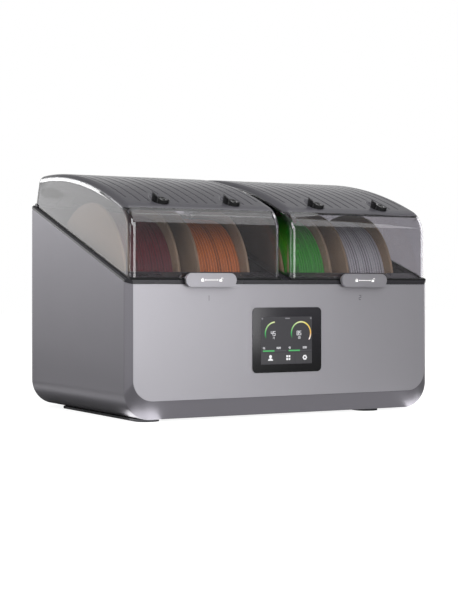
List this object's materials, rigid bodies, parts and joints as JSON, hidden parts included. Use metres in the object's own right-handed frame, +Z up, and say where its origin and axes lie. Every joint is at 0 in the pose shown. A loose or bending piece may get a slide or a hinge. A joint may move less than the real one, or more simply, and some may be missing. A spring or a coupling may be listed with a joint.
{
  "type": "filament dryer box",
  "caption": "Silver dryer box for filament spools: wedge-shaped case, twin smoke-clear dome lids with ribbed grey tops, tube outlets, sliding latches and a small touch screen.",
  "frame": {"origin": "middle of the footprint, on the floor", "axes": "+X to the right along the front, +Y from the front panel to the back, +Z up"},
  "size_m": [0.4, 0.2786, 0.2815],
  "materials": {
    "silver_shell": "satin",
    "silver_panel": "satin",
    "dark_plastic": "matte",
    "rim_plastic": "satin",
    "black_plastic": "matte",
    "smoke_clear": "clear gloss",
    "ribbed_grey": "satin",
    "knob_silver": "satin",
    "rubber": "matte",
    "steel": "brushed",
    "black_glass": "gloss",
    "green_board": "matte",
    "psu_case": "satin",
    "kraft": "matte",
    "white_roller": "matte",
    "heater_fins": "matte",
    "filament_maroon": "gloss",
    "filament_orange": "gloss",
    "filament_green": "gloss",
    "filament_grey": "gloss"
  },
  "bodies": {
    "case": {"outer_shell": "silver_shell", "front_panel": "silver_panel", "rear_panel": "rim_plastic", "chassis_plate": "steel", "foot_left": "rubber", "foot_right": "rubber", "tub_left": "dark_plastic", "tub_right": "dark_plastic", "rim_frame": "rim_plastic", "gasket_left": "rubber", "gasket_right": "rubber", "hinge_pins_left": "steel", "hinge_pins_right": "steel", "latch_keeper_left": "black_plastic", "latch_keeper_right": "black_plastic", "roller_axles_left": "steel", "roller_axles_right": "steel", "heater_left": "heater_fins", "heater_right": "heater_fins", "fan_housing_left": "black_plastic", "fan_housing_right": "black_plastic", "display_glass": "black_glass", "display_module": "black_plastic", "main_board": "green_board", "power_supply": "psu_case", "power_inlet": "black_plastic", "switch_housing": "black_plastic"},
    "lid_left": {"lid_shell_left": "smoke_clear", "cover_left": "ribbed_grey", "outlets_left": "black_plastic", "hinge_arms_left": "black_plastic", "latch_base_left": "black_plastic"},
    "latch_left": {"latch_knob_left": "knob_silver"},
    "fan_left": {"fan_impeller_left": "black_plastic"},
    "lid_right": {"lid_shell_right": "smoke_clear", "cover_right": "ribbed_grey", "outlets_right": "black_plastic", "hinge_arms_right": "black_plastic", "latch_base_right": "black_plastic"},
    "latch_right": {"latch_knob_right": "knob_silver"},
    "fan_right": {"fan_impeller_right": "black_plastic"},
    "spool_1": {"spool_1": "kraft", "filament_1": "filament_maroon"},
    "roller_1_front": {"roller_1_front": "white_roller"},
    "roller_1_rear": {"roller_1_rear": "white_roller"},
    "spool_2": {"spool_2": "kraft", "filament_2": "filament_orange"},
    "roller_2_front": {"roller_2_front": "white_roller"},
    "roller_2_rear": {"roller_2_rear": "white_roller"},
    "spool_3": {"spool_3": "kraft", "filament_3": "filament_green"},
    "roller_3_front": {"roller_3_front": "white_roller"},
    "roller_3_rear": {"roller_3_rear": "white_roller"},
    "spool_4": {"spool_4": "kraft", "filament_4": "filament_grey"},
    "roller_4_front": {"roller_4_front": "white_roller"},
    "roller_4_rear": {"roller_4_rear": "white_roller"},
    "rocker": {"switch_rocker": "black_plastic"}
  },
  "joints": [
    {"name": "lid_left_hinge", "type": "hinge", "parent": "case", "child": "lid_left", "pos_m": [-0.10138, 0.13391, 0.24416], "axis": [-1, 0, 0], "range_deg": [0, 80]},
    {"name": "latch_left_slide", "type": "slide", "parent": "lid_left", "child": "latch_left", "axis": [-1, 0, 0], "range_m": [0, 0.008]},
    {"name": "fan_left_spin", "type": "hinge", "parent": "case", "child": "fan_left", "pos_m": [-0.10138, 0.0971, 0.0564], "axis": [0, -0.8, 0.6], "continuous": true},
    {"name": "lid_right_hinge", "type": "hinge", "parent": "case", "child": "lid_right", "pos_m": [0.10138, 0.13391, 0.24416], "axis": [-1, 0, 0], "range_deg": [0, 80]},
    {"name": "latch_right_slide", "type": "slide", "parent": "lid_right", "child": "latch_right", "axis": [-1, 0, 0], "range_m": [0, 0.008]},
    {"name": "fan_right_spin", "type": "hinge", "parent": "case", "child": "fan_right", "pos_m": [0.10138, 0.0971, 0.0564], "axis": [0, -0.8, 0.6], "continuous": true},
    {"name": "spool_1_spin", "type": "hinge", "parent": "case", "child": "spool_1", "pos_m": [-0.14613, 0.0115, 0.144], "axis": [1, 0, 0], "continuous": true},
    {"name": "roller_1_front_spin", "type": "hinge", "parent": "case", "child": "roller_1_front", "pos_m": [-0.14613, -0.05033, 0.0557], "axis": [1, 0, 0], "continuous": true},
    {"name": "roller_1_rear_spin", "type": "hinge", "parent": "case", "child": "roller_1_rear", "pos_m": [-0.14613, 0.07333, 0.0557], "axis": [1, 0, 0], "continuous": true},
    {"name": "spool_2_spin", "type": "hinge", "parent": "case", "child": "spool_2", "pos_m": [-0.05663, 0.0115, 0.144], "axis": [1, 0, 0], "continuous": true},
    {"name": "roller_2_front_spin", "type": "hinge", "parent": "case", "child": "roller_2_front", "pos_m": [-0.05663, -0.05033, 0.0557], "axis": [1, 0, 0], "continuous": true},
    {"name": "roller_2_rear_spin", "type": "hinge", "parent": "case", "child": "roller_2_rear", "pos_m": [-0.05663, 0.07333, 0.0557], "axis": [1, 0, 0], "continuous": true},
    {"name": "spool_3_spin", "type": "hinge", "parent": "case", "child": "spool_3", "pos_m": [0.05663, 0.0115, 0.144], "axis": [1, 0, 0], "continuous": true},
    {"name": "roller_3_front_spin", "type": "hinge", "parent": "case", "child": "roller_3_front", "pos_m": [0.05663, -0.05033, 0.0557], "axis": [1, 0, 0], "continuous": true},
    {"name": "roller_3_rear_spin", "type": "hinge", "parent": "case", "child": "roller_3_rear", "pos_m": [0.05663, 0.07333, 0.0557], "axis": [1, 0, 0], "continuous": true},
    {"name": "spool_4_spin", "type": "hinge", "parent": "case", "child": "spool_4", "pos_m": [0.14613, 0.0115, 0.144], "axis": [1, 0, 0], "continuous": true},
    {"name": "roller_4_front_spin", "type": "hinge", "parent": "case", "child": "roller_4_front", "pos_m": [0.14613, -0.05033, 0.0557], "axis": [1, 0, 0], "continuous": true},
    {"name": "roller_4_rear_spin", "type": "hinge", "parent": "case", "child": "roller_4_rear", "pos_m": [0.14613, 0.07333, 0.0557], "axis": [1, 0, 0], "continuous": true},
    {"name": "power_rocker", "type": "hinge", "parent": "case", "child": "rocker", "pos_m": [0.181, 0.1318, 0.04], "axis": [1, 0, 0], "range_deg": [-7, 7]}
  ],
  "couplings": [
    {"joint": "roller_1_front_spin", "follows": "spool_1_spin", "ratio": -12.438},
    {"joint": "roller_1_rear_spin", "follows": "spool_1_spin", "ratio": -12.438},
    {"joint": "roller_2_front_spin", "follows": "spool_2_spin", "ratio": -12.438},
    {"joint": "roller_2_rear_spin", "follows": "spool_2_spin", "ratio": -12.438},
    {"joint": "roller_3_front_spin", "follows": "spool_3_spin", "ratio": -12.438},
    {"joint": "roller_3_rear_spin", "follows": "spool_3_spin", "ratio": -12.438},
    {"joint": "roller_4_front_spin", "follows": "spool_4_spin", "ratio": -12.438},
    {"joint": "roller_4_rear_spin", "follows": "spool_4_spin", "ratio": -12.438}
  ]
}
